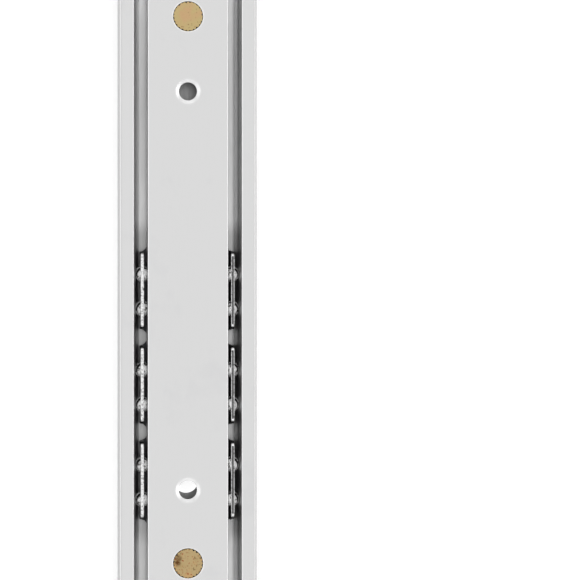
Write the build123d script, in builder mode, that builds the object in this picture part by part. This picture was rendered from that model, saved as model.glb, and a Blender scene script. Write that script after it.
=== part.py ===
from build123d import *
import os
from math import atan2, cos, radians, sin, sqrt, tan

# A two-section ball-bearing drawer slide, shut, lying on the cabinet member's back. Millimetres.
# X runs across the slide, Y along it with the drawer's front towards -Y, and Z up out of its open side.
# The cabinet member's back is on Z = 0, and the slide is centred on the Z axis.

# Whole slide
LENGTH = 200.0
HALF_WIDTH = 17.5
SHEET = 1.2                 # steel of both members
PRESS = 0.02                # radial room between pieces that are pressed or staked together
PAST = 1.0                  # how far a cutting shape runs past what it cuts

# Balls, and the races formed round them
BALL_R = 2.0
BALL_X = 11.35              # the rows' distance from the centre line
BALL_Z = 5.0
BALL_Y = (21.8, 13.0, -2.5, -11.3, -26.6, -35.4)
RACE_R = BALL_R + 0.04      # running fit
RACE_BACK_R = RACE_R + SHEET

# Cabinet member: a flat back, upright walls, and lips that turn in and down into the races
LIP_TOP = 9.0
LIP_EDGE_X = 13.7           # the lips' inner edges, where they turn down
RACE_EDGE_X = 13.1          # the flanges lean inwards to here, the top of the race
RACE_LOW_DEG = -65.0        # the race wraps this far below the ball's centre
RACE_MID_DEG = -15.0
BACK_BEND_R = 1.6
WALL_BEND_R = 1.0
LIP_BEND_R = 0.5
INNER_BEND_R = 0.4
CABINET_HOLE_R = 3.1
CABINET_HOLE_PITCH = 32.0
CABINET_HOLE_COUNT = 4
CABINET_HOLE_FRONT_Y = -63.0
RETAINER_STOP_X = 8.9       # two lugs lanced up from the back, just inside the front end
RETAINER_STOP_Y = -95.5
RETAINER_STOP_WIDE = 2.6
RETAINER_STOP_THICK = 1.2
RETAINER_STOP_TOP = 2.4
LANCE_LENGTH = 2.0

# Drawer member: a channel with its web outwards and its races facing the walls
WEB_TOP = 9.5
DRAWER_HALF_WIDTH = 10.2
DRAWER_REAR_Y = 94.5
DRAWER_FRONT_Y = -LENGTH / 2
FLANGE_LOW = 2.7
WEB_EDGE_R = 0.4
DRAWER_HOLE_R = 2.3
COUNTERSINK_R = 3.2
COUNTERSINK_DEG = 122.0
COUNTERSINK_EDGE_R = 0.3
RIVET_HOLE_EDGE_R = 0.2
DRAWER_HOLE_Y = (68.0, -33.0, -84.0)

# Ball retainer: a thin plate with upright fingers that hold the balls
CAGE_SHEET = 0.9
CAGE_LOW = 1.5
CAGE_REAR_Y = 30.0
CAGE_FRONT_Y = -42.2
CAGE_PLATE_X = 10.0         # half width of the plate where it has no fingers
CAGE_BEND_R = 1.1
FINGER_X = 11.5             # the middle of the fingers' thickness
FINGER_TOP = 7.8
FINGER_CORNER_R = 2.2
FINGER_EDGE_R = 0.2
FINGER_Y = ((27.5, 7.8), (3.6, -16.2), (-20.7, -40.5))
NOTCH_CORNER_R = 2.05
CAGE_END_R = 0.6
BALL_HOLE_R = BALL_R + 0.06
WINDOW_LENGTH = 13.0
WINDOW_WIDTH = 10.0
WINDOW_CORNER_R = 2.0

# Stop blocks under the drawer member's web, and the knurled rivets that hold them
STOP_HALF_WIDTH = 6.5
STOP_LENGTH = 7.6
STOP_LOW = 1.7
STOP_CORNER_R = 1.0
STOP_CHAMFER = 0.5
REAR_STOP_Y = 87.0
FRONT_STOP_Y = -51.5
RIVET_HEAD_R = 3.74
RIVET_TEETH = 24
TOOTH_DEPTH = 0.35
TOOTH_GAP_R = 0.7            # the gaps between teeth are the corners of squares of this radius
RIVET_HEAD_EDGE = 0.12
RIVET_SHANK_R = 2.0
RIVET_SHANK_LENGTH = 4.5
RIVET_END_CHAMFER = 0.4

# Closing buffer at the cabinet member's rear end, and its rivet
BUFFER_HALF_WIDTH = 8.0
BUFFER_FRONT_Y = 94.8
BUFFER_REAR_Y = 99.4
BUFFER_TOP = 8.0
BUFFER_CORNER_R = 0.8
BUFFER_RIBS = 6
BUFFER_RIB_PITCH = 2.5
BUFFER_GROOVE_R = 0.7
BUFFER_RIVET_R = 1.2
BUFFER_RIVET_HEAD_R = 2.1
BUFFER_RIVET_HEAD = 0.6


def section_plane(y):
    """The plane of a cross-section at y: its X is the slide's X, its Y is up, and it faces the front."""
    return Plane.XZ.offset(-y)


def round_ball(radius, angle):
    """A point of a section's circle round the right-hand ball's centre, at an angle in degrees."""
    return (BALL_X + radius * cos(radians(angle)), BALL_Z + radius * sin(radians(angle)))


def race_rise(radius, x):
    """How far above the ball's centre the circle of that radius crosses the upright line at x."""
    return sqrt(radius**2 - (x - BALL_X) ** 2)


def save(part, name):
    """Label a finished piece and write it under that name."""
    part.label = name
    export_step(part, f"parts/{name}.step")


def make_cabinet_member():
    """The fixed member: a rolled section with mounting holes, and two lugs that stop the retainer."""
    wall_x = HALF_WIDTH - SHEET
    race_top = (RACE_EDGE_X, BALL_Z + race_rise(RACE_R, RACE_EDGE_X))
    lean = atan2(LIP_EDGE_X - RACE_EDGE_X, LIP_TOP - race_top[1])
    flange_x = RACE_EDGE_X + SHEET / cos(lean)
    race_back_top = (flange_x, BALL_Z + race_rise(RACE_BACK_R, flange_x))
    lip_back = (LIP_EDGE_X + SHEET / cos(lean) - SHEET * tan(lean), LIP_TOP - SHEET)
    lug_y = RETAINER_STOP_Y - RETAINER_STOP_THICK / 2
    lance_y = RETAINER_STOP_Y - RETAINER_STOP_THICK - LANCE_LENGTH / 2
    with BuildPart() as member:
        with BuildSketch(section_plane(LENGTH / 2)):
            with BuildLine():
                FilletPolyline(
                    (0, 0), (HALF_WIDTH, 0), (HALF_WIDTH, LIP_TOP), (LIP_EDGE_X, LIP_TOP), race_top,
                    radius=[BACK_BEND_R, WALL_BEND_R, LIP_BEND_R],
                )
                ThreePointArc(
                    race_top, round_ball(RACE_R, RACE_MID_DEG), round_ball(RACE_R, RACE_LOW_DEG)
                )
                Line(round_ball(RACE_R, RACE_LOW_DEG), round_ball(RACE_BACK_R, RACE_LOW_DEG))
                ThreePointArc(
                    round_ball(RACE_BACK_R, RACE_LOW_DEG),
                    round_ball(RACE_BACK_R, RACE_MID_DEG),
                    race_back_top,
                )
                FilletPolyline(
                    race_back_top, lip_back, (wall_x, LIP_TOP - SHEET), (wall_x, SHEET), (0, SHEET),
                    radius=[INNER_BEND_R, INNER_BEND_R, INNER_BEND_R],
                )
                Line((0, SHEET), (0, 0))
            make_face()
            mirror(about=Plane.YZ)
        extrude(amount=LENGTH)
        with Locations(*[(side * RETAINER_STOP_X, lug_y, SHEET / 2) for side in (-1, 1)]):
            Box(
                RETAINER_STOP_WIDE, RETAINER_STOP_THICK, RETAINER_STOP_TOP - SHEET / 2,
                align=(Align.CENTER, Align.CENTER, Align.MIN),
            )
        with Locations(*[(side * RETAINER_STOP_X, lance_y, SHEET / 2) for side in (-1, 1)]):
            Box(RETAINER_STOP_WIDE, LANCE_LENGTH, 2 * SHEET, mode=Mode.SUBTRACT)
        with Locations(*[(0, cabinet_hole_y(i), SHEET) for i in range(CABINET_HOLE_COUNT)]):
            Hole(CABINET_HOLE_R)
        with Locations((0, (BUFFER_FRONT_Y + BUFFER_REAR_Y) / 2, SHEET)):
            Hole(BUFFER_RIVET_R + PRESS)
    return member.part


def cabinet_hole_y(index):
    """Where the cabinet member's screw holes lie, counted from the front."""
    return CABINET_HOLE_FRONT_Y + index * CABINET_HOLE_PITCH


def make_drawer_member():
    """The sliding member: a channel whose flanges are the inner races, with countersunk holes."""
    back_x = DRAWER_HALF_WIDTH - SHEET
    race_half = race_rise(RACE_R, DRAWER_HALF_WIDTH)
    back_half = race_rise(RACE_BACK_R, back_x)
    low_back_x = BALL_X - sqrt(RACE_BACK_R**2 - (BALL_Z - FLANGE_LOW) ** 2)
    with BuildPart() as member:
        with BuildSketch(section_plane(DRAWER_REAR_Y)):
            with BuildLine():
                FilletPolyline(
                    (0, WEB_TOP), (DRAWER_HALF_WIDTH, WEB_TOP), (DRAWER_HALF_WIDTH, BALL_Z + race_half),
                    radius=WEB_EDGE_R,
                )
                ThreePointArc(
                    (DRAWER_HALF_WIDTH, BALL_Z + race_half),
                    round_ball(RACE_R, 180),
                    (DRAWER_HALF_WIDTH, BALL_Z - race_half),
                )
                Polyline(
                    (DRAWER_HALF_WIDTH, BALL_Z - race_half), (DRAWER_HALF_WIDTH, FLANGE_LOW),
                    (low_back_x, FLANGE_LOW),
                )
                ThreePointArc(
                    (low_back_x, FLANGE_LOW), round_ball(RACE_BACK_R, 180), (back_x, BALL_Z + back_half)
                )
                Polyline(
                    (back_x, BALL_Z + back_half), (back_x, WEB_TOP - SHEET), (0, WEB_TOP - SHEET),
                    (0, WEB_TOP),
                )
            make_face()
            mirror(about=Plane.YZ)
        extrude(amount=DRAWER_REAR_Y - DRAWER_FRONT_Y)
        with Locations(*[(0, y, WEB_TOP) for y in DRAWER_HOLE_Y]):
            CounterSinkHole(DRAWER_HOLE_R, COUNTERSINK_R, counter_sink_angle=COUNTERSINK_DEG)
        with Locations(*[(0, y, WEB_TOP) for y in (REAR_STOP_Y, FRONT_STOP_Y)]):
            Hole(RIVET_HEAD_R + PRESS)
        for edge_r, least, most in (
            (COUNTERSINK_EDGE_R, DRAWER_HOLE_R, COUNTERSINK_R + PRESS),
            (RIVET_HOLE_EDGE_R, RIVET_HEAD_R, RIVET_HEAD_R + 2 * PRESS),
        ):
            rims = member.faces().sort_by(Axis.Z)[-1].edges().filter_by(GeomType.CIRCLE)
            fillet(rims.filter_by(lambda rim: least < rim.radius < most), edge_r)
    return member.part


def make_retainer():
    """The ball retainer: a bent strip, notched between its fingers, with a hole for each ball."""
    outer_x = FINGER_X + CAGE_SHEET / 2
    inner_x = FINGER_X - CAGE_SHEET / 2
    plate_top = CAGE_LOW + CAGE_SHEET
    past_end = NOTCH_CORNER_R + PAST
    gaps = [(CAGE_REAR_Y + past_end, FINGER_Y[0][0])]
    gaps += [(behind[1], ahead[0]) for behind, ahead in zip(FINGER_Y, FINGER_Y[1:])]
    gaps += [(FINGER_Y[-1][1], CAGE_FRONT_Y - past_end)]
    reach = 2 * (outer_x - CAGE_PLATE_X) + NOTCH_CORNER_R
    with BuildPart() as retainer:
        with BuildSketch(section_plane(CAGE_REAR_Y)):
            with BuildLine():
                FilletPolyline(
                    (0, CAGE_LOW), (outer_x, CAGE_LOW), (outer_x, FINGER_TOP), radius=CAGE_BEND_R
                )
                Line((outer_x, FINGER_TOP), (inner_x, FINGER_TOP))
                FilletPolyline(
                    (inner_x, FINGER_TOP), (inner_x, plate_top), (0, plate_top),
                    radius=CAGE_BEND_R - CAGE_SHEET,
                )
                Line((0, plate_top), (0, CAGE_LOW))
            make_face()
            mirror(about=Plane.YZ)
        extrude(amount=CAGE_REAR_Y - CAGE_FRONT_Y)
        with BuildSketch(Plane.XY.offset(CAGE_LOW)):
            for rear, front in gaps:
                middle = (rear + front) / 2
                with Locations(*[(side * (CAGE_PLATE_X + reach / 2), middle) for side in (-1, 1)]):
                    RectangleRounded(reach, rear - front, NOTCH_CORNER_R)
        extrude(amount=FINGER_TOP, mode=Mode.SUBTRACT)
        with BuildSketch(Plane.XY.offset(CAGE_LOW)):
            with Locations(*[(0, (rear + front) / 2) for rear, front in FINGER_Y]):
                RectangleRounded(WINDOW_WIDTH, WINDOW_LENGTH, WINDOW_CORNER_R)
        extrude(amount=CAGE_SHEET, mode=Mode.SUBTRACT)
        with BuildSketch(Plane.YZ):
            with Locations(*[(y, BALL_Z) for y in BALL_Y]):
                Circle(BALL_HOLE_R)
        extrude(amount=outer_x, both=True, mode=Mode.SUBTRACT)
        with BuildSketch(Plane.YZ):
            with Locations(((CAGE_REAR_Y + CAGE_FRONT_Y) / 2, FINGER_TOP)):
                Rectangle(CAGE_REAR_Y - CAGE_FRONT_Y + 2 * PAST, 2 * FINGER_CORNER_R)
            for rear, front in FINGER_Y:
                with Locations(((rear + front) / 2, (FINGER_TOP + CAGE_LOW) / 2)):
                    RectangleRounded(
                        rear - front, FINGER_TOP - CAGE_LOW, FINGER_CORNER_R, mode=Mode.SUBTRACT
                    )
        extrude(amount=outer_x + PAST, both=True, mode=Mode.SUBTRACT)
        crests = retainer.faces().filter_by(Axis.Z).group_by(Axis.Z)[-1]
        fillet(crests.edges().filter_by(Axis.Y), FINGER_EDGE_R)
        upright = retainer.edges().filter_by(Axis.Z).group_by(Axis.Y)
        fillet(upright[0] + upright[-1], CAGE_END_R)
    return retainer.part


def make_ball(side, y):
    """One ball of the row on that side."""
    with BuildPart() as ball:
        with Locations((side * BALL_X, y, BALL_Z)):
            Sphere(BALL_R)
    return ball.part


def make_stop(y):
    """A block that hangs from the drawer member's web and meets the retainer's end."""
    height = WEB_TOP - SHEET - STOP_LOW
    with BuildPart() as stop:
        with BuildSketch(Plane((0, y, STOP_LOW))):
            RectangleRounded(2 * STOP_HALF_WIDTH, STOP_LENGTH, STOP_CORNER_R)
            Circle(RIVET_SHANK_R + PRESS, mode=Mode.SUBTRACT)
        extrude(amount=height)
        chamfer(stop.faces().sort_by(Axis.Z)[0].outer_wire().edges(), STOP_CHAMFER)
    return stop.part


def make_knurled_rivet(y):
    """A rivet whose toothed head is pressed flush into the web, and whose shank holds a stop block."""
    with BuildPart() as rivet:
        with BuildSketch(Plane((0, y, WEB_TOP - SHEET))):
            Circle(RIVET_HEAD_R)
            with PolarLocations(RIVET_HEAD_R + TOOTH_GAP_R - TOOTH_DEPTH, RIVET_TEETH):
                RegularPolygon(TOOTH_GAP_R, 4, mode=Mode.SUBTRACT)
        extrude(amount=SHEET)
        chamfer(rivet.faces().sort_by(Axis.Z)[-1].edges(), RIVET_HEAD_EDGE)
        with BuildSketch(Plane((0, y, WEB_TOP - SHEET))):
            Circle(RIVET_SHANK_R)
        extrude(amount=-RIVET_SHANK_LENGTH)
        chamfer(rivet.faces().sort_by(Axis.Z)[0].edges(), RIVET_END_CHAMFER)
    return rivet.part


def make_buffer():
    """The block that the drawer member closes against, with a ribbed front."""
    width = 2 * BUFFER_HALF_WIDTH
    depth = BUFFER_REAR_Y - BUFFER_FRONT_Y
    middle = (BUFFER_FRONT_Y + BUFFER_REAR_Y) / 2
    with BuildPart() as block:
        with BuildSketch(Plane((0, middle, SHEET))):
            RectangleRounded(width, depth, BUFFER_CORNER_R)
            Circle(BUFFER_RIVET_R + PRESS, mode=Mode.SUBTRACT)
        extrude(amount=BUFFER_TOP - SHEET)
        with BuildSketch(Plane((0, BUFFER_FRONT_Y, SHEET))):
            with GridLocations(BUFFER_RIB_PITCH, 1, BUFFER_RIBS - 1, 1):
                Circle(BUFFER_GROOVE_R)
        extrude(amount=BUFFER_TOP - SHEET, mode=Mode.SUBTRACT)
    return block.part


def make_buffer_rivet():
    """The rivet that holds the closing buffer to the cabinet member's back."""
    with BuildPart() as rivet:
        with BuildSketch(Plane((0, (BUFFER_FRONT_Y + BUFFER_REAR_Y) / 2, 0))):
            Circle(BUFFER_RIVET_R)
        extrude(amount=BUFFER_TOP)
        with BuildSketch(Plane((0, (BUFFER_FRONT_Y + BUFFER_REAR_Y) / 2, BUFFER_TOP))):
            Circle(BUFFER_RIVET_HEAD_R)
        extrude(amount=BUFFER_RIVET_HEAD)
        fillet(rivet.faces().sort_by(Axis.Z)[-1].edges(), BUFFER_RIVET_HEAD / 2)
    return rivet.part


os.makedirs("parts", exist_ok=True)
save(make_cabinet_member(), "cabinet_member")
save(make_drawer_member(), "drawer_member")
save(make_retainer(), "ball_retainer")
for row, side in (("left", -1), ("right", 1)):
    for number, ball_y in enumerate(BALL_Y, start=1):
        save(make_ball(side, ball_y), f"ball_{row}_{number}")
save(make_stop(REAR_STOP_Y), "rear_retainer_stop")
save(make_stop(FRONT_STOP_Y), "front_retainer_stop")
save(make_knurled_rivet(REAR_STOP_Y), "rear_knurled_rivet")
save(make_knurled_rivet(FRONT_STOP_Y), "front_knurled_rivet")
save(make_buffer(), "closing_buffer")
save(make_buffer_rivet(), "buffer_rivet")

travel = 2 * (REAR_STOP_Y - STOP_LENGTH / 2 - CAGE_REAR_Y)
print("drawer travel, if the retainer's ends touch both stops:", round(travel, 2), "mm")
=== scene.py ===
import logging
import math
import random
from dataclasses import dataclass, field
from enum import Enum

import bpy
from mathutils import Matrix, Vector


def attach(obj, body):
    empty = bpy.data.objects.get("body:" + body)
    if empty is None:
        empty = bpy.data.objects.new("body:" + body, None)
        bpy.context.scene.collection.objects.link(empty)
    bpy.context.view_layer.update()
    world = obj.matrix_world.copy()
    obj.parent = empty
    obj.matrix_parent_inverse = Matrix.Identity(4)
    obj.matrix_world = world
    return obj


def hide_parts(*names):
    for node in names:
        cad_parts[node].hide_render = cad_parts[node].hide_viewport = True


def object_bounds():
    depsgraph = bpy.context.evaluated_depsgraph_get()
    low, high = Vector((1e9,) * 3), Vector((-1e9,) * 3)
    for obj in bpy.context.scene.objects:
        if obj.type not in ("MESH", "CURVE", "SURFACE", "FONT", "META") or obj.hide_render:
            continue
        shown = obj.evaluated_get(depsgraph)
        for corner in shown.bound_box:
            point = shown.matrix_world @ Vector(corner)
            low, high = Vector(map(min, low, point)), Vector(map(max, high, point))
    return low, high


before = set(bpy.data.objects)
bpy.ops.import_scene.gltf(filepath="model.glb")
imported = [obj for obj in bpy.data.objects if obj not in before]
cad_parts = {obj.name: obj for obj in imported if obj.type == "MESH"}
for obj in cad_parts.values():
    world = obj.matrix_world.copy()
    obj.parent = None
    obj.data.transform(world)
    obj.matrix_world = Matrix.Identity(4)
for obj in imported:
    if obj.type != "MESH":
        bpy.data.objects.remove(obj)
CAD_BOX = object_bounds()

# The object is a two-section ball-bearing drawer slide, lying on its back with its open side up.
# Lengths in the classes below are millimetres unless a name ends in _m. Y runs along the slide.

MM = 0.001
BALL_ROW_X = 11.35      # the rows of balls lie this far from the centre plane
BALL_PLACES = (21.8, 13.0, -2.5, -11.3, -26.6, -35.4)
BALL_STRETCH_Y = -6.0   # the middle of the stretch that the balls work in
RACE_TOP = 8.2          # the races lie below this height
REAR_RIVET_Y = 87.0
FRONT_RIVET_Y = -51.5
WEB_HOLES_Y = (68.0, -33.0, -84.0)
Node = bpy.types.Node
Socket = bpy.types.NodeSocket
Tree = bpy.types.NodeTree
LOG = logging.getLogger("drawer_slide")


def linear(hex_colour: str) -> tuple[float, float, float, float]:
    """Turn an sRGB hex colour into the linear values that Blender's sockets take.

    Args:
        hex_colour: A colour such as "#C4AA76".

    Returns:
        Red, green, blue and an alpha of one, all linear.
    """
    channels = [int(hex_colour[i:i + 2], 16) / 255.0 for i in (1, 3, 5)]
    curved = [c / 12.92 if c <= 0.04045 else ((c + 0.055) / 1.055) ** 2.4 for c in channels]
    return (curved[0], curved[1], curved[2], 1.0)


def add_node(tree: Tree, kind: str, inputs: dict | None = None, **settings: object) -> Node:
    """Add one node, set its options, and fill its sockets with values or with other nodes' outputs.

    Args:
        tree: The node tree that gets the node.
        kind: The node's Blender type name.
        inputs: Socket name or index to a plain value, or to an output socket to link from.
        **settings: Attributes of the node itself, such as its operation.

    Returns:
        The new node.
    """
    node = tree.nodes.new(kind)
    for name, value in settings.items():
        setattr(node, name, value)
    for name, value in (inputs or {}).items():
        if isinstance(value, Socket):
            tree.links.new(value, node.inputs[name])
        else:
            node.inputs[name].default_value = value
    return node


class Lay(Enum):
    """The direction that rolling left its fine lines in, as the stretch of a pattern along X, Y and Z."""

    ALONG = (1.0, 0.04, 1.0)
    NONE = (1.0, 1.0, 1.0)


class Zone:
    """A part of a surface that looks different from the rest, as a mask from 0 to 1 over the row frame."""

    colour: str
    WALL_FROM, WALL_TO = 15.8, 15.4     # off the centre plane, where the outer walls give way to the channel
    BACK_FROM, BACK_TO = 0.8, 1.0       # the heights where the back's sheet gives way to the channel
    TOP_FADE = 0.6
    END_FADE = 5.0

    def mask(self, tree: Tree, place: Socket) -> Socket:
        """Add the mask's nodes for a point on the surface, and return the socket that carries it."""
        raise NotImplementedError

    @staticmethod
    def product(tree: Tree, factors: list[Socket]) -> Socket:
        """Multiply the factors together.

        Args:
            tree: The material's node tree.
            factors: The sockets to multiply.

        Returns:
            The socket that carries the product.
        """
        result = factors[0]
        for factor in factors[1:]:
            joined = add_node(tree, "ShaderNodeMath", {0: result, 1: factor}, operation="MULTIPLY")
            result = joined.outputs[0]
        return result

    @staticmethod
    def ramp(tree: Tree, value: Socket, off: float, on: float) -> Socket:
        """Rise smoothly from 0 to 1 between two sizes in millimetres.

        Args:
            tree: The material's node tree.
            value: The size on the surface, in metres.
            off: The size at which the result is 0.
            on: The size at which the result is 1.

        Returns:
            The socket that carries the result.
        """
        return add_node(tree, "ShaderNodeMapRange", {
            "Value": value, "From Min": off * MM, "From Max": on * MM,
        }, interpolation_type="SMOOTHSTEP").outputs["Result"]

    @staticmethod
    def speckle(
        tree: Tree, place: Socket, size: float, low: float, high: float
    ) -> Socket:
        """Add a noise that is 0 at a low level and 1 at a high one.

        Args:
            tree: The material's node tree.
            place: The point on the surface.
            size: The noise's usual width.
            low: The level at which the result is 0.
            high: The level at which the result is 1.

        Returns:
            The socket that carries the result.
        """
        noise = add_node(tree, "ShaderNodeTexNoise", {
            "Vector": place, "Scale": 1.0 / (size * MM), "Detail": 3.0,
        })
        return add_node(tree, "ShaderNodeMapRange", {
            "Value": noise.outputs["Fac"], "From Min": low, "From Max": high,
        }).outputs["Result"]

    @staticmethod
    def off_centre(tree: Tree, place: Socket) -> Socket:
        """The distance from the slide's centre plane."""
        across = add_node(tree, "ShaderNodeSeparateXYZ", {"Vector": place}).outputs["X"]
        return add_node(tree, "ShaderNodeMath", {0: across}, operation="ABSOLUTE").outputs[0]

    @classmethod
    def in_races(
        cls, tree: Tree, place: Socket, top: float
    ) -> list[Socket]:
        """Add factors that are 1 in the channel and 0 on the cabinet member's back and outer walls.

        Args:
            tree: The material's node tree.
            place: The point on the surface.
            top: The height that the channel's part stays below.

        Returns:
            The factors' sockets.
        """
        high = add_node(tree, "ShaderNodeSeparateXYZ", {"Vector": place}).outputs["Z"]
        inside = cls.ramp(tree, cls.off_centre(tree, place), cls.WALL_FROM, cls.WALL_TO)
        above_back = cls.ramp(tree, high, cls.BACK_FROM, cls.BACK_TO)
        return [inside, above_back, cls.ramp(tree, high, top, top - cls.TOP_FADE)]

    @classmethod
    def along(
        cls, tree: Tree, place: Socket, middle: float, half: float
    ) -> Socket:
        """Add a factor that is 1 over a stretch of the slide's length and fades near its ends.

        Args:
            tree: The material's node tree.
            place: The point on the surface.
            middle: Where the stretch's middle lies along the slide.
            half: Half the stretch's length.

        Returns:
            The factor's socket.
        """
        place_y = add_node(tree, "ShaderNodeSeparateXYZ", {"Vector": place}).outputs["Y"]
        away = add_node(tree, "ShaderNodeMath", {0: place_y, 1: middle * MM}, operation="SUBTRACT").outputs[0]
        away = add_node(tree, "ShaderNodeMath", {0: away}, operation="ABSOLUTE").outputs[0]
        return cls.ramp(tree, away, half, half - cls.END_FADE)

    @staticmethod
    def nearest(tree: Tree, point: Socket, centres: list[tuple[float, float]]) -> Socket:
        """Measure how far a flattened point lies from the nearest of some centres.

        Args:
            tree: The material's node tree.
            point: The point, with no height.
            centres: The centres, across and along the slide.

        Returns:
            The socket that carries the distance.
        """
        shortest = None
        for x, y in centres:
            centre = (x * MM, y * MM, 0.0)
            gap = add_node(tree, "ShaderNodeVectorMath", {0: point, 1: centre}, operation="DISTANCE")
            gap = gap.outputs["Value"]
            if shortest is not None:
                gap = add_node(tree, "ShaderNodeMath", {0: shortest, 1: gap}, operation="MINIMUM").outputs[0]
            shortest = gap
        return shortest


@dataclass(frozen=True)
class Crest(Zone):
    """Bare metal above a height, where a shear cut the strip's edge.

    Args:
        colour: The bare metal's colour.
        height: Where it begins, above the slide's back.
    """

    colour: str
    height: float
    FADE = 0.3                      # the height over which the bare metal begins
    WEAR = (0.55, 0.22, 0.52)       # the worn spots' width, and the noise levels between which they fade

    def mask(self, tree: Tree, place: Socket) -> Socket:
        """Add a mask that is 1 above the height, and wavers a little at its lower edge.

        Args:
            tree: The material's node tree.
            place: The point on the surface.

        Returns:
            The socket that carries the mask.
        """
        high = add_node(tree, "ShaderNodeSeparateXYZ", {"Vector": place}).outputs["Z"]
        worn = self.speckle(tree, place, *self.WEAR)
        return self.product(tree, [self.ramp(tree, high, self.height, self.height + self.FADE), worn])


@dataclass(frozen=True)
class Fracture(Zone):
    """The dull torn band along the middle of the right row's sheared edges.

    Args:
        colour: The torn metal's colour.
        height: Where the edges begin, above the slide's back.
        middle_x: The distance from the centre plane to the band's middle.
        half_width: The band's half width.
    """

    colour: str
    height: float
    middle_x: float
    half_width: float
    SOLID = 0.5                     # the share of the half width over which the band is whole
    FADE = 0.1                      # the height over which it begins
    TEARS = (0.9, 0.2, 0.36)        # the tears' width, and the noise levels between which they fade

    def mask(self, tree: Tree, place: Socket) -> Socket:
        """Add a mask that is 1 in the band, with gaps where the shear left it bright.

        Args:
            tree: The material's node tree.
            place: The point on the surface.

        Returns:
            The socket that carries the mask.
        """
        parts = add_node(tree, "ShaderNodeSeparateXYZ", {"Vector": place})
        aside = add_node(tree, "ShaderNodeMath", {
            0: parts.outputs["X"], 1: self.middle_x * MM,
        }, operation="SUBTRACT")
        aside = add_node(tree, "ShaderNodeMath", {0: aside.outputs[0]}, operation="ABSOLUTE")
        band = self.ramp(tree, aside.outputs[0], self.half_width, self.SOLID * self.half_width)
        high = self.ramp(tree, parts.outputs["Z"], self.height, self.height + self.FADE)
        return self.product(tree, [band, high, self.speckle(tree, place, *self.TEARS)])


@dataclass(frozen=True)
class PaintedFloorShade(Zone):
    """Painted shade on the channel's floor, under the drawer member.

    Args:
        colour: The painted shade's colour.
        half_width: How far it reaches from the centre plane.
        floor: The height of the floor that it lies on, above the slide's back.
    """

    colour: str
    half_width: float
    floor: float
    SIDE_FADE = 3.0                 # the width over which it thins out at its sides
    BELOW_FLOOR = (0.3, 0.1)        # how far below the floor's face it begins and is whole

    def mask(self, tree: Tree, place: Socket) -> Socket:
        """Add a mask that is 1 on the floor's middle and fades towards its sides.

        Args:
            tree: The material's node tree.
            place: The point on the surface.

        Returns:
            The socket that carries the mask.
        """
        high = add_node(tree, "ShaderNodeSeparateXYZ", {"Vector": place}).outputs["Z"]
        aside = self.off_centre(tree, place)
        middle = self.ramp(tree, aside, self.half_width, self.half_width - self.SIDE_FADE)
        begins, whole = self.BELOW_FLOOR
        return self.product(tree, [middle, self.ramp(tree, high, self.floor - begins, self.floor - whole)])


@dataclass(frozen=True)
class PaintedRaceShade(Zone):
    """Painted shade in the races, over the stretch where the retainer and balls stand.

    Args:
        colour: The painted shade's colour.
        top: The height above the slide's back that it stays below.
        middle_y: Where the stretch's middle lies along the slide.
        half_length: How far it reaches to the front and the rear of there.
    """

    colour: str
    top: float
    middle_y: float
    half_length: float

    def mask(self, tree: Tree, place: Socket) -> Socket:
        """Add a mask that is 1 in the races along that stretch."""
        stretch = self.along(tree, place, self.middle_y, self.half_length)
        return self.product(tree, [*self.in_races(tree, place, self.top), stretch])


@dataclass(frozen=True)
class PaintedWallShade(Zone):
    """Painted shade on the outer walls and their bends.

    Args:
        colour: The painted shade's colour.
        start_x: The distance from the centre plane at which the painted shade starts.
        full_x: The distance at which it is complete.
    """

    colour: str
    start_x: float
    full_x: float

    def mask(self, tree: Tree, place: Socket) -> Socket:
        """Add a mask that is 1 on the outer walls."""
        return self.ramp(tree, self.off_centre(tree, place), self.start_x, self.full_x)


@dataclass(frozen=True)
class PaintedRaceLight(Zone):
    """Painted light in the races, brighter in some stretches than in others.

    Args:
        colour: The painted light's colour.
        top: The height above the slide's back that it stays below.
        length: The usual length of a bright stretch.
        strength: The greatest share of the colour, from 0 to 1.
    """

    colour: str
    top: float
    length: float
    strength: float
    DRAWN = (4.0, 1.0, 4.0)         # the noise is drawn out along the slide by these shares
    LEVELS = (0.3, 0.55)            # the noise levels between which a stretch brightens

    def mask(self, tree: Tree, place: Socket) -> Socket:
        """Add a mask that comes and goes along the slide and is 0 above the top.

        Args:
            tree: The material's node tree.
            place: The point on the surface.

        Returns:
            The socket that carries the mask.
        """
        drawn = add_node(tree, "ShaderNodeMapping", {"Vector": place, "Scale": self.DRAWN})
        noise = add_node(tree, "ShaderNodeTexNoise", {
            "Vector": drawn.outputs["Vector"], "Scale": 1.0 / (self.length * MM), "Detail": 2.0,
        })
        bright = add_node(tree, "ShaderNodeMapRange", {
            "Value": noise.outputs["Fac"], "From Min": self.LEVELS[0], "From Max": self.LEVELS[1],
            "To Max": self.strength,
        })
        return self.product(tree, [*self.in_races(tree, place, self.top), bright.outputs["Result"]])


@dataclass(frozen=True)
class Halo(Zone):
    """A round mark that fades outwards, such as plating burnished round a hole, or a blot of burnt oil.

    Args:
        colour: The mark's colour.
        centres: The marks' centres, across and along the slide.
        inner: The radius at which a mark is strongest.
        outer: The radius at which it ends.
    """

    colour: str
    centres: tuple[tuple[float, float], ...]
    inner: float
    outer: float
    MOTTLE = (1.2, 0.2, 0.55)       # the mottling's width, and the noise levels between which it fades

    def mask(self, tree: Tree, place: Socket) -> Socket:
        """Add a mask that falls from 1 at the inner radius to 0 at the outer one, round every centre.

        Args:
            tree: The material's node tree.
            place: The point on the surface.

        Returns:
            The socket that carries the mask.
        """
        flat = add_node(tree, "ShaderNodeMapping", {"Vector": place, "Scale": (1.0, 1.0, 0.0)})
        flat = flat.outputs["Vector"]
        ring = self.ramp(tree, self.nearest(tree, flat, list(self.centres)), self.outer, self.inner)
        return self.product(tree, [ring, self.speckle(tree, place, *self.MOTTLE)])


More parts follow.
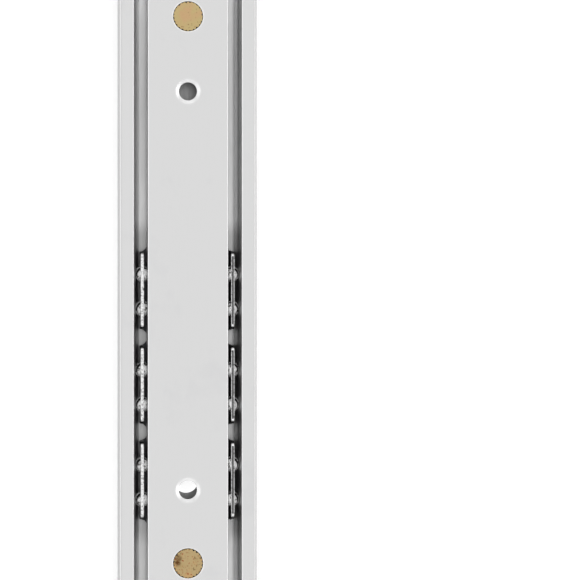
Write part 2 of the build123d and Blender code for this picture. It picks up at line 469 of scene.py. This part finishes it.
@dataclass(frozen=True)
class PaintedBallReflection(Zone):
    """A painted reflection: a dark crescent on the rear outer shoulder of every ball, standing for the dark
    race mirrored in it, inside the ball's bright rim.

    Args:
        colour: The painted reflection's colour.
        row_x: The distance from the centre plane to a row of balls.
        places_y: Where the balls stand along the slide.
        radius: The crescent's outer radius round the ball's centre.
        shift: How far the circle cut out of it sits off that centre, inwards and to the front.
        cutout_radius: That circle's radius.
        edge: Half the width over which the outer edge fades.
        inner_edge: The width over which the inner edge fades.
    """

    colour: str
    row_x: float
    places_y: tuple[float, ...]
    radius: float
    shift: tuple[float, float]
    cutout_radius: float
    edge: float = 0.08
    inner_edge: float = 0.2

    def from_ball(
        self, tree: Tree, place: Socket, shift: tuple[float, float]
    ) -> Socket:
        """Measure how far a point lies from the nearest ball's centre line, moved inwards and to the front.

        Args:
            tree: The material's node tree.
            place: The point on the surface.
            shift: How far the centre line is moved inwards and to the front.

        Returns:
            The socket that carries the distance.
        """
        parts = add_node(tree, "ShaderNodeSeparateXYZ", {"Vector": place})
        folded = add_node(tree, "ShaderNodeCombineXYZ", {
            "X": self.off_centre(tree, place), "Y": parts.outputs["Y"],
        }).outputs["Vector"]
        return self.nearest(tree, folded, [(self.row_x - shift[0], y - shift[1]) for y in self.places_y])

    def mask(self, tree: Tree, place: Socket) -> Socket:
        """Add a mask that is 1 in the crescents and softer at their inner edge.

        Args:
            tree: The material's node tree.
            place: The point on the surface.

        Returns:
            The socket that carries the mask.
        """
        whole = self.from_ball(tree, place, (0.0, 0.0))
        outside = self.ramp(tree, whole, self.radius + self.edge, self.radius - self.edge)
        from_cutout = self.from_ball(tree, place, self.shift)
        inside = self.ramp(tree, from_cutout, self.cutout_radius, self.cutout_radius + self.inner_edge)
        return self.product(tree, [outside, inside])


@dataclass(frozen=True)
class Bloom(Zone):
    """Scattered patches or specks of another tint.

    Args:
        colour: The patches' colour.
        size: Their usual width.
        low: The noise level at which a patch starts.
        high: The noise level at which it is fully there.
    """

    colour: str
    size: float
    low: float
    high: float

    def mask(self, tree: Tree, place: Socket) -> Socket:
        """Add a mask that is 1 in the patches."""
        return self.speckle(tree, place, self.size, self.low, self.high)


@dataclass(frozen=True)
class MetalFinish:
    """A bare or plated metal: fine tooling lines, slow colour drift, and darker stain where oil has dried.

    Args:
        name: The real material and how its surface was made.
        colour: The metal's own colour.
        stain: The colour of dried oil and handling marks.
        stain_share: How much of the surface the stain reaches, from 0 to 1.
        stain_size: The marks' usual width in millimetres.
        roughness: The lowest and highest roughness over the surface.
        lay: The direction of the tooling lines.
        line_pitch: The spacing of those lines in millimetres.
        line_depth: Their depth in millimetres.
        zones: Parts of the surface that look different, each laid over those before it.
        film: The share of the metal's shine that a milky film of grease takes away, where it lies thickest.
        film_top: The height above the slide's back that the film reaches.
        seed: Moves the marks to another place in the noise.
    """

    name: str
    colour: str
    stain: str
    stain_share: float
    stain_size: float
    roughness: tuple[float, float]
    lay: Lay
    line_pitch: float
    line_depth: float
    zones: tuple[Zone, ...] = ()
    film: float = 0.0
    film_top: float = 0.0
    seed: float = 0.0
    NOISE_MIDDLE = 0.5
    NOISE_REACH = 0.25              # how far most of a noise lies from its middle
    STAIN_EDGE = (0.08, 0.12)       # how far below and above its level the stain fades
    LINE_LEVELS = (0.3, 0.7)        # the lines' noise levels with the lowest and highest roughness
    FILM_FADE = 0.3                 # the height over which the film thins out

    def material(self) -> bpy.types.Material:
        """Build the material.

        Returns:
            A metal whose colour, roughness and bump all come from noise at the sizes above.
        """
        made = bpy.data.materials.new(self.name)
        made.use_nodes = True
        tree = made.node_tree
        tree.nodes.clear()
        place = add_node(tree, "ShaderNodeTexCoord").outputs["Object"]
        stretched = add_node(tree, "ShaderNodeMapping", {"Vector": place, "Scale": self.lay.value})
        lines = add_node(tree, "ShaderNodeTexNoise", {
            "Vector": stretched.outputs["Vector"], "Scale": 1.0 / (self.line_pitch * MM), "Detail": 3.0,
        })
        marks = add_node(tree, "ShaderNodeTexNoise", {
            "Vector": place, "W": self.seed, "Scale": 1.0 / (self.stain_size * MM), "Detail": 5.0,
            "Roughness": 0.6,
        }, noise_dimensions="4D")
        edge = self.NOISE_MIDDLE + self.NOISE_REACH * (1.0 - self.stain_share)
        stained = add_node(tree, "ShaderNodeMapRange", {
            "Value": marks.outputs["Fac"],
            "From Min": edge - self.STAIN_EDGE[0], "From Max": edge + self.STAIN_EDGE[1],
        })
        colour = add_node(tree, "ShaderNodeMix", {
            "Factor": stained.outputs["Result"], "A": linear(self.colour), "B": linear(self.stain),
        }, data_type="RGBA")
        shade = colour.outputs[2]
        for zone in self.zones:
            shade = add_node(tree, "ShaderNodeMix", {
                "Factor": zone.mask(tree, place), "A": shade, "B": linear(zone.colour),
            }, data_type="RGBA").outputs[2]
        high = add_node(tree, "ShaderNodeSeparateXYZ", {"Vector": place}).outputs["Z"]
        shine = add_node(tree, "ShaderNodeMapRange", {
            "Value": high, "From Min": (self.film_top - self.FILM_FADE) * MM, "From Max": self.film_top * MM,
            "To Min": 1.0 - self.film, "To Max": 1.0,
        })
        rough = add_node(tree, "ShaderNodeMapRange", {
            "Value": lines.outputs["Fac"],
            "From Min": self.LINE_LEVELS[0], "From Max": self.LINE_LEVELS[1],
            "To Min": self.roughness[0], "To Max": self.roughness[1],
        })
        bump = add_node(tree, "ShaderNodeBump", {
            "Height": lines.outputs["Fac"], "Distance": self.line_depth * MM, "Strength": 1.0,
        })
        metal = add_node(tree, "ShaderNodeBsdfPrincipled", {
            "Base Color": shade, "Metallic": shine.outputs["Result"], "Roughness": rough.outputs["Result"],
            "Normal": bump.outputs["Normal"],
        })
        add_node(tree, "ShaderNodeOutputMaterial", {"Surface": metal.outputs["BSDF"]})
        return made


@dataclass(frozen=True)
class MouldedFinish:
    """A moulded plastic or rubber: a fine even texture from the tool, and dust-grey scuffs.

    Args:
        name: The real material and how its surface was made.
        colour: The material's own colour.
        scuff: The colour of worn spots.
        roughness: The roughness over the surface.
        grain: The texture's size in millimetres.
        grain_depth: The texture's depth in millimetres.
        ior: The material's index of refraction.
    """

    name: str
    colour: str
    scuff: str
    roughness: float
    grain: float
    grain_depth: float
    ior: float
    SCUFF_SIZE = 20.0               # the scuffs' width, in grains

    def material(self) -> bpy.types.Material:
        """Build the material.

        Returns:
            A matt dielectric with a grain in its bump and slow scuffs in its colour.
        """
        made = bpy.data.materials.new(self.name)
        made.use_nodes = True
        tree = made.node_tree
        tree.nodes.clear()
        place = add_node(tree, "ShaderNodeTexCoord").outputs["Object"]
        grain = add_node(tree, "ShaderNodeTexNoise", {
            "Vector": place, "Scale": 1.0 / (self.grain * MM), "Detail": 2.0,
        })
        wear = add_node(tree, "ShaderNodeTexNoise", {
            "Vector": place, "Scale": 1.0 / (self.SCUFF_SIZE * self.grain * MM), "Detail": 4.0,
        })
        colour = add_node(tree, "ShaderNodeMix", {
            "Factor": wear.outputs["Fac"], "A": linear(self.colour), "B": linear(self.scuff),
        }, data_type="RGBA")
        bump = add_node(tree, "ShaderNodeBump", {
            "Height": grain.outputs["Fac"], "Distance": self.grain_depth * MM, "Strength": 1.0,
        })
        plastic = add_node(tree, "ShaderNodeBsdfPrincipled", {
            "Base Color": colour.outputs[2], "Roughness": self.roughness, "IOR": self.ior,
            "Normal": bump.outputs["Normal"],
        })
        add_node(tree, "ShaderNodeOutputMaterial", {"Surface": plastic.outputs["BSDF"]})
        return made


# Bright zinc over cold-rolled strip: a pale neutral grey with faint lines along the rolling direction.
# Painted light brightens its races in some stretches, painted shade darkens them where the balls work,
# painted shade greys the floor under the drawer member, and painted shade darkens its outer walls.
CABINET_ZINC = MetalFinish(
    "zinc_plated_rolled_channel", "#D2D2D2", "#CCCCCD", stain_share=0.4, stain_size=14.0,
    roughness=(0.36, 0.44), lay=Lay.ALONG, line_pitch=0.25, line_depth=0.0012,
    zones=(
        # Painted light: brighter stretches in the races, standing in for light along the channel.
        PaintedRaceLight("#EEEEEE", top=RACE_TOP, length=45.0, strength=0.6),
        # Painted shade: darker races over the stretch where the retainer and balls stand.
        PaintedRaceShade("#C2C2C2", top=RACE_TOP, middle_y=BALL_STRETCH_Y, half_length=42.0),
        # Painted shade: a darker floor under the drawer member.
        PaintedFloorShade("#A9A9A9", half_width=9.5, floor=1.2),
        # Painted shade: darker outer walls and bends.
        PaintedWallShade("#B0B0B0", start_x=16.5, full_x=17.2),
    ),
)
# The same plating on the drawer's side, with the same painted light and shade in its races, burnished in
# bright rings where tools pressed the holes and rivets.
DRAWER_ZINC = MetalFinish(
    "zinc_plated_rolled_strip", "#D2D2D2", "#CCCCCD", stain_share=0.4, stain_size=14.0,
    roughness=(0.36, 0.44), lay=Lay.ALONG, line_pitch=0.25, line_depth=0.0012,
    zones=(
        # Painted light: brighter stretches in the races, standing in for light along the channel.
        PaintedRaceLight("#EEEEEE", top=RACE_TOP, length=45.0, strength=0.5),
        # Painted shade: darker races over the stretch where the retainer and balls stand.
        PaintedRaceShade("#C2C2C2", top=RACE_TOP, middle_y=BALL_STRETCH_Y, half_length=42.0),
        Halo("#EAEAEA", ((0.0, REAR_RIVET_Y), (0.0, FRONT_RIVET_Y)), inner=3.75, outer=4.3),
        Halo("#D9D9D9", tuple((0.0, y) for y in WEB_HOLES_Y), inner=2.9, outer=3.7),
    ),
)
# Black phosphated strip: it soaks up light, but its sheared upper edges are bare and bright, with a torn grey
# band along the right row's.
RETAINER_STEEL = MetalFinish(
    "phosphated_steel_strip", "#3B3B3D", "#2C2B2B", stain_share=0.5, stain_size=2.5,
    roughness=(0.28, 0.42), lay=Lay.ALONG, line_pitch=0.2, line_depth=0.002,
    zones=(
        Crest("#E9E9E9", height=6.9),
        Fracture("#3E3E3E", height=7.5, middle_x=11.5, half_width=0.3),
    ),
)
# Ground and lapped bearing steel: a near mirror on top, milky where grease gathers, with dark crescents of
# painted reflection.
BALL_STEEL = MetalFinish(
    "lapped_bearing_steel", "#FAFAFA", "#EDEBE8", stain_share=0.35, stain_size=0.9,
    roughness=(0.10, 0.2), lay=Lay.NONE, line_pitch=0.4, line_depth=0.0002,
    zones=(
        Bloom("#6A6866", size=0.8, low=0.53, high=0.62),
        # Painted reflection: dark crescents standing for the dark race mirrored in each ball.
        PaintedBallReflection("#1C1B1A", BALL_ROW_X, BALL_PLACES, radius=1.68, shift=(0.34, 0.4), cutout_radius=1.56),
    ), film=0.72, film_top=6.95,
)
# Turned brass, dulled by handling: yellow with pinkish bloom, and a few brown specks.
TURNED_BRASS = MetalFinish(
    "turned_brass", "#BBA777", "#BFA174", stain_share=0.5, stain_size=3.2,
    roughness=(0.30, 0.44), lay=Lay.NONE, line_pitch=0.3, line_depth=0.002,
    zones=(
        Bloom("#C0A077", size=4.0, low=0.5, high=0.66),
        Bloom("#8C6A48", size=0.6, low=0.66, high=0.71),
    ),
)
# The same brass where oil has baked on: duller, blotted dark brown, and specked with red-brown.
STAINED_BRASS = MetalFinish(
    "oil_stained_turned_brass", "#B29C72", "#A88E62", stain_share=0.62, stain_size=2.6,
    roughness=(0.34, 0.5), lay=Lay.NONE, line_pitch=0.3, line_depth=0.003,
    zones=(
        Bloom("#BB9A6C", size=2.0, low=0.5, high=0.6),
        Bloom("#98583C", size=0.55, low=0.6, high=0.66),
        Bloom("#7E6A48", size=1.0, low=0.58, high=0.66),
        Halo("#5E4024", ((-2.45, -50.2), (-2.7, -51.5)), inner=0.3, outer=1.25),
    ), seed=3.0,
)
# Acetal, moulded in a spark-finished tool: a soft waxy dark grey.
ACETAL = MouldedFinish(
    "moulded_acetal", "#3E3F41", "#4A4B4D", roughness=0.42, grain=0.25, grain_depth=0.004, ior=1.48,
)
# Nitrile rubber, pressed: near black and dusty.
RUBBER = MouldedFinish(
    "pressed_nitrile_rubber", "#232426", "#333436", roughness=0.72, grain=0.3, grain_depth=0.01, ior=1.52,
)


@dataclass(frozen=True)
class LightTableFinish:
    """A light table's opal sheet: matt white acrylic, softly lit from below, with a faint cloudiness.

    Args:
        name: The real material and how its surface was made.
        colour: The sheet's own colour.
        glow: The light that comes up through it, where one is a full white.
        cloud_size: The size of the cloudiness in millimetres.
        window: The half width and half length of the brightest window, which the slide covers.
        spill: The share of that light that comes up beyond the window.
        unevenness: How far the cloudiness moves the light up and down, as a share of it.
        window_edge: The width over which the window's light falls off.
    """

    name: str = "opal_acrylic_light_table"
    colour: str = "#F4F4F4"
    glow: float = 0.85
    cloud_size: float = 60.0
    window: tuple[float, float] = (15.0, 98.0)
    spill: float = 0.2
    unevenness: float = 0.02
    window_edge: float = 1.0

    def material(self) -> bpy.types.Material:
        """Build the material.

        Returns:
            A matt white that glows a little, more in some places than in others.
        """
        made = bpy.data.materials.new(self.name)
        made.use_nodes = True
        tree = made.node_tree
        tree.nodes.clear()
        place = add_node(tree, "ShaderNodeTexCoord").outputs["Object"]
        cloud = add_node(tree, "ShaderNodeTexNoise", {"Vector": place, "Scale": 1.0 / (self.cloud_size * MM)})
        glow = add_node(tree, "ShaderNodeMapRange", {
            "Value": cloud.outputs["Fac"],
            "To Min": (1.0 - self.unevenness) * self.glow, "To Max": (1.0 + self.unevenness) * self.glow,
        }).outputs["Result"]
        parts = add_node(tree, "ShaderNodeSeparateXYZ", {"Vector": place})
        sides = []
        for axis, half in zip("XY", self.window):
            aside = add_node(tree, "ShaderNodeMath", {0: parts.outputs[axis]}, operation="ABSOLUTE")
            sides.append(Zone.ramp(tree, aside.outputs[0], half + self.window_edge, half))
        both = Zone.product(tree, sides)
        inside = add_node(tree, "ShaderNodeMapRange", {"Value": both, "To Min": self.spill})
        glow = Zone.product(tree, [glow, inside.outputs["Result"]])
        sheet = add_node(tree, "ShaderNodeBsdfPrincipled", {
            "Base Color": linear(self.colour), "Roughness": 0.8, "Emission Color": linear("#FFFFFF"),
            "Emission Strength": glow,
        })
        add_node(tree, "ShaderNodeOutputMaterial", {"Surface": sheet.outputs["BSDF"]})
        return made


@dataclass
class Studio:
    """The card that the slide lies on, the soft light round it, and the camera.

    Args:
        card_size_m: The card's width and depth.
        card_gap: How far the card lies below the slide's back.
        sky: The even light from all round.
        strip_power_w: The power of each long soft light beside the slide.
        end_power_w: The power of each soft light beyond the slide's ends.
        camera_height: The camera's height above the slide's back.
        camera_x: How far the camera stands to the slide's right; it is negative to its left.
        aim_x: Where the middle of the view lies across the slide.
        aim_y: Where the middle of the view lies along the slide.
        view_width: The width of the view at the slide.
        lamp_size_m: The length and height of each soft light.
        strip_place_m: How far the lights beside the slide stand from it, and how high.
        end_place_m: How far the lights beyond its ends stand from its middle, and how high.
        sensor_width: The camera's sensor width.
        clip_m: The nearest and farthest distance that the camera shows.
    """

    card_size_m: float = 3.0
    card_gap: float = 0.3
    sky: float = 1.08
    strip_power_w: float = 0.8
    end_power_w: float = 0.25
    camera_height: float = 900.0
    camera_x: float = -58.0
    aim_x: float = 25.9
    aim_y: float = 17.7
    view_width: float = 147.2
    lamp_size_m: tuple[float, float] = (0.7, 0.25)
    strip_place_m: tuple[float, float] = (0.5, 0.16)
    end_place_m: tuple[float, float] = (0.6, 0.3)
    sensor_width: float = 36.0
    clip_m: tuple[float, float] = (0.01, 20.0)

    def build(self) -> None:
        """Make the card, the lights and the camera."""
        self.lay_card()
        self.hang_lights()
        self.stand_camera()

    def lay_card(self) -> None:
        """Lay the pale card under the slide."""
        half = self.card_size_m / 2
        mesh = bpy.data.meshes.new("card")
        corners = [(-half, -half), (half, -half), (half, half), (-half, half)]
        mesh.from_pydata([(x, y, -self.card_gap * MM) for x, y in corners], [], [(0, 1, 2, 3)])
        card = bpy.data.objects.new("card", mesh)
        card.data.materials.append(LightTableFinish().material())
        bpy.context.scene.collection.objects.link(card)

    def hang_lights(self) -> None:
        """Light the scene evenly, with a long soft light low on every side for the bright edges."""
        world = bpy.data.worlds.new("studio")
        world.use_nodes = True
        backdrop = world.node_tree.nodes["Background"]
        backdrop.inputs["Color"].default_value = (1.0, 1.0, 1.0, 1.0)
        backdrop.inputs["Strength"].default_value = self.sky
        bpy.context.scene.world = world
        aside, strip_high = self.strip_place_m
        beyond, end_high = self.end_place_m
        lamps = (
            ("left_strip", (-aside, 0.0, strip_high), self.strip_power_w),
            ("right_strip", (aside, 0.0, strip_high), self.strip_power_w),
            ("front_strip", (0.0, -beyond, end_high), self.end_power_w),
            ("rear_strip", (0.0, beyond, end_high), self.end_power_w),
        )
        for name, place, power in lamps:
            lamp = bpy.data.lights.new(name, "AREA")
            lamp.shape = "RECTANGLE"
            lamp.size, lamp.size_y = self.lamp_size_m
            lamp.energy = power
            strip = bpy.data.objects.new(name, lamp)
            strip.location = place
            strip.rotation_euler = (-strip.location).to_track_quat("-Z", "Y").to_euler()
            bpy.context.scene.collection.objects.link(strip)

    def stand_camera(self) -> None:
        """Stand the camera over the slide's open side, a little to its left, with a long lens."""
        data = bpy.data.cameras.new("camera")
        camera = bpy.data.objects.new("camera", data)
        camera.location = Vector((self.camera_x, self.aim_y, self.camera_height)) * MM
        aim = Vector((self.aim_x, self.aim_y, CAD_BOX[1][2] / MM)) * MM
        direction = aim - camera.location
        camera.rotation_euler = (0.0, math.atan2(-direction.x, -direction.z), 0.0)
        data.sensor_width = self.sensor_width
        data.lens = data.sensor_width * direction.length / (self.view_width * MM)
        data.clip_start, data.clip_end = self.clip_m
        bpy.context.scene.collection.objects.link(camera)
        bpy.context.scene.camera = camera


@dataclass
class KnurledRivet:
    """A turned brass rivet whose toothed head is pressed flush into the drawer member, as a fine mesh.

    Args:
        node: The CAD node that it stands for.
        finish: What it is made of.
        seed: The start of the teeth's unevenness.
        centre_y: Where it stands along the slide.
        top: The height of its head above the slide's back.
        head_radius: The head's radius over the teeth.
        head_depth: The head's thickness.
        teeth: How many teeth the head has.
        tooth_depth: How deep the gaps between teeth go.
        shank_radius: The shank's radius.
        shank_length: The shank's length below the head.
        steps: How many mesh columns make one tooth.
        depth_share: The least and greatest share of the tooth depth that a gap has.
        gap_share: The least and greatest half width of a gap, as a share of a tooth.
        wear: How far the rim is worn in at most, column by column.
        middle_radius: The radius of the flat spot that turning leaves in the middle.
        middle_dip: How deep that spot lies.
        dish: How far the head is dished beside the spot.
        rings: The head's turned rings, each as a share of its radius and the depth of its groove.
        edge_width: How far the head's edge is rounded over.
        edge_shoulder: A point of that rounding, inwards from the rim and down from the top.
        shank_chamfer: The chamfer at the shank's end.
    """

    node: str
    finish: MetalFinish
    seed: int
    centre_y: float
    top: float = 9.5
    head_radius: float = 3.735
    head_depth: float = 1.2
    teeth: int = 24
    tooth_depth: float = 0.42
    shank_radius: float = 2.0
    shank_length: float = 4.5
    steps: int = 10
    depth_share: tuple[float, float] = (0.35, 1.0)
    gap_share: tuple[float, float] = (0.22, 0.4)
    wear: float = 0.03
    middle_radius: float = 0.02
    middle_dip: float = 0.03
    dish: float = 0.025
    rings: tuple[tuple[float, float], ...] = (
        (0.12, 0.008), (0.14, 0.0), (0.3, 0.0), (0.32, 0.008), (0.5, 0.0),
        (0.52, 0.008), (0.7, 0.0), (0.72, 0.008), (0.86, 0.0), (0.93, 0.0),
    )
    edge_width: float = 0.12
    edge_shoulder: tuple[float, float] = (0.04, 0.03)
    shank_chamfer: float = 0.4

    def rim(self) -> list[float]:
        """Work out the head's radius at every mesh column.

        Returns:
            One radius for each column, with teeth of uneven depth and width.
        """
        chance = random.Random(self.seed)
        radii = []
        for _ in range(self.teeth):
            depth = self.tooth_depth * chance.uniform(*self.depth_share)
            gap = chance.uniform(*self.gap_share)
            for step in range(self.steps):
                across = abs(step / self.steps - 0.5) / gap
                cut = depth * max(0.0, 1.0 - across)
                radii.append(self.head_radius - cut - self.wear * chance.random())
        return radii

    def outline(self) -> list[list[tuple[float, float]]]:
        """Work out the rivet's rings, from the middle of its head to the end of its shank.

        Returns:
            For each ring, the radius and height of every mesh column.
        """
        rim = self.rim()
        low = self.top - self.head_depth
        end = low - self.shank_length
        inwards, down = self.edge_shoulder
        rings = [[(self.middle_radius, self.top - self.middle_dip) for _ in rim]]
        for share, groove in self.rings:
            dip = self.dish * (1.0 - share) + groove
            rings.append([(share * r, self.top - dip) for r in rim])
        rings.append([(r - self.edge_width, self.top) for r in rim])
        rings.append([(r - inwards, self.top - down) for r in rim])
        rings.append([(r, self.top - self.edge_width) for r in rim])
        rings.append([(r, low) for r in rim])
        rings.append([(self.shank_radius, low) for _ in rim])
        rings.append([(self.shank_radius, end + self.shank_chamfer) for _ in rim])
        rings.append([(self.shank_radius - self.shank_chamfer, end) for _ in rim])
        return rings

    def build(self) -> bpy.types.Object:
        """Build the rivet, put it in the CAD node's place and give it the finish.

        Returns:
            The new mesh object.
        """
        rings = self.outline()
        count = len(rings[0])
        points = []
        for ring in rings:
            for column, (radius, z) in enumerate(ring):
                angle = 2.0 * math.pi * column / count
                x = radius * math.cos(angle)
                y = self.centre_y + radius * math.sin(angle)
                points.append((x * MM, y * MM, z * MM))
        faces = [tuple(range(count)), tuple(reversed(range(len(points) - count, len(points))))]
        for start in range(0, len(points) - count, count):
            for column in range(count):
                after = (column + 1) % count
                faces.append((start + column, start + count + column, start + count + after, start + after))
        mesh = bpy.data.meshes.new(f"{self.node}_turned")
        mesh.from_pydata(points, [], faces)
        mesh.materials.append(self.finish.material())
        made = bpy.data.objects.new(f"{self.node}_turned", mesh)
        bpy.context.scene.collection.objects.link(made)
        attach(made, "drawer_side")
        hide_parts(self.node)
        return made


@dataclass
class SlidePart:
    """A group of CAD nodes that share one finish.

    Args:
        nodes: The nodes' names.
        finish: What they are made of.
        made: The nodes that have been given the finish so far.
    """

    nodes: list[str]
    finish: MetalFinish | MouldedFinish
    made: list[bpy.types.Object] = field(default_factory=list)

    def dress(self) -> None:
        """Give every node of the group the finish."""
        material = self.finish.material()
        for name in self.nodes:
            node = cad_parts[name]
            node.data.materials.clear()
            node.data.materials.append(material)
            self.made.append(node)


def main() -> None:
    """Build and dress the slide, then the studio, and log each piece."""
    logging.basicConfig(level=logging.INFO, format="%(message)s")
    balls = [f"ball_{row}_{number}" for row in ("left", "right") for number in range(1, 7)]
    parts = [
        SlidePart(["cabinet_member", "buffer_rivet"], CABINET_ZINC),
        SlidePart(["drawer_member"], DRAWER_ZINC),
        SlidePart(["ball_retainer"], RETAINER_STEEL),
        SlidePart(balls, BALL_STEEL),
        SlidePart(["rear_retainer_stop", "front_retainer_stop"], ACETAL),
        SlidePart(["closing_buffer"], RUBBER),
    ]
    for part in parts:
        part.dress()
        for piece in part.made:
            LOG.info("%s: %d faces", piece.name, len(piece.data.polygons))
    rivets = [
        KnurledRivet("rear_knurled_rivet", TURNED_BRASS, seed=5, centre_y=REAR_RIVET_Y),
        KnurledRivet("front_knurled_rivet", STAINED_BRASS, seed=11, centre_y=FRONT_RIVET_Y),
    ]
    for rivet in rivets:
        piece = rivet.build()
        LOG.info("%s: %d faces", piece.name, len(piece.data.polygons))
    Studio().build()
    bpy.context.scene.view_settings.view_transform = "Standard"


if __name__ == "__main__":
    main()
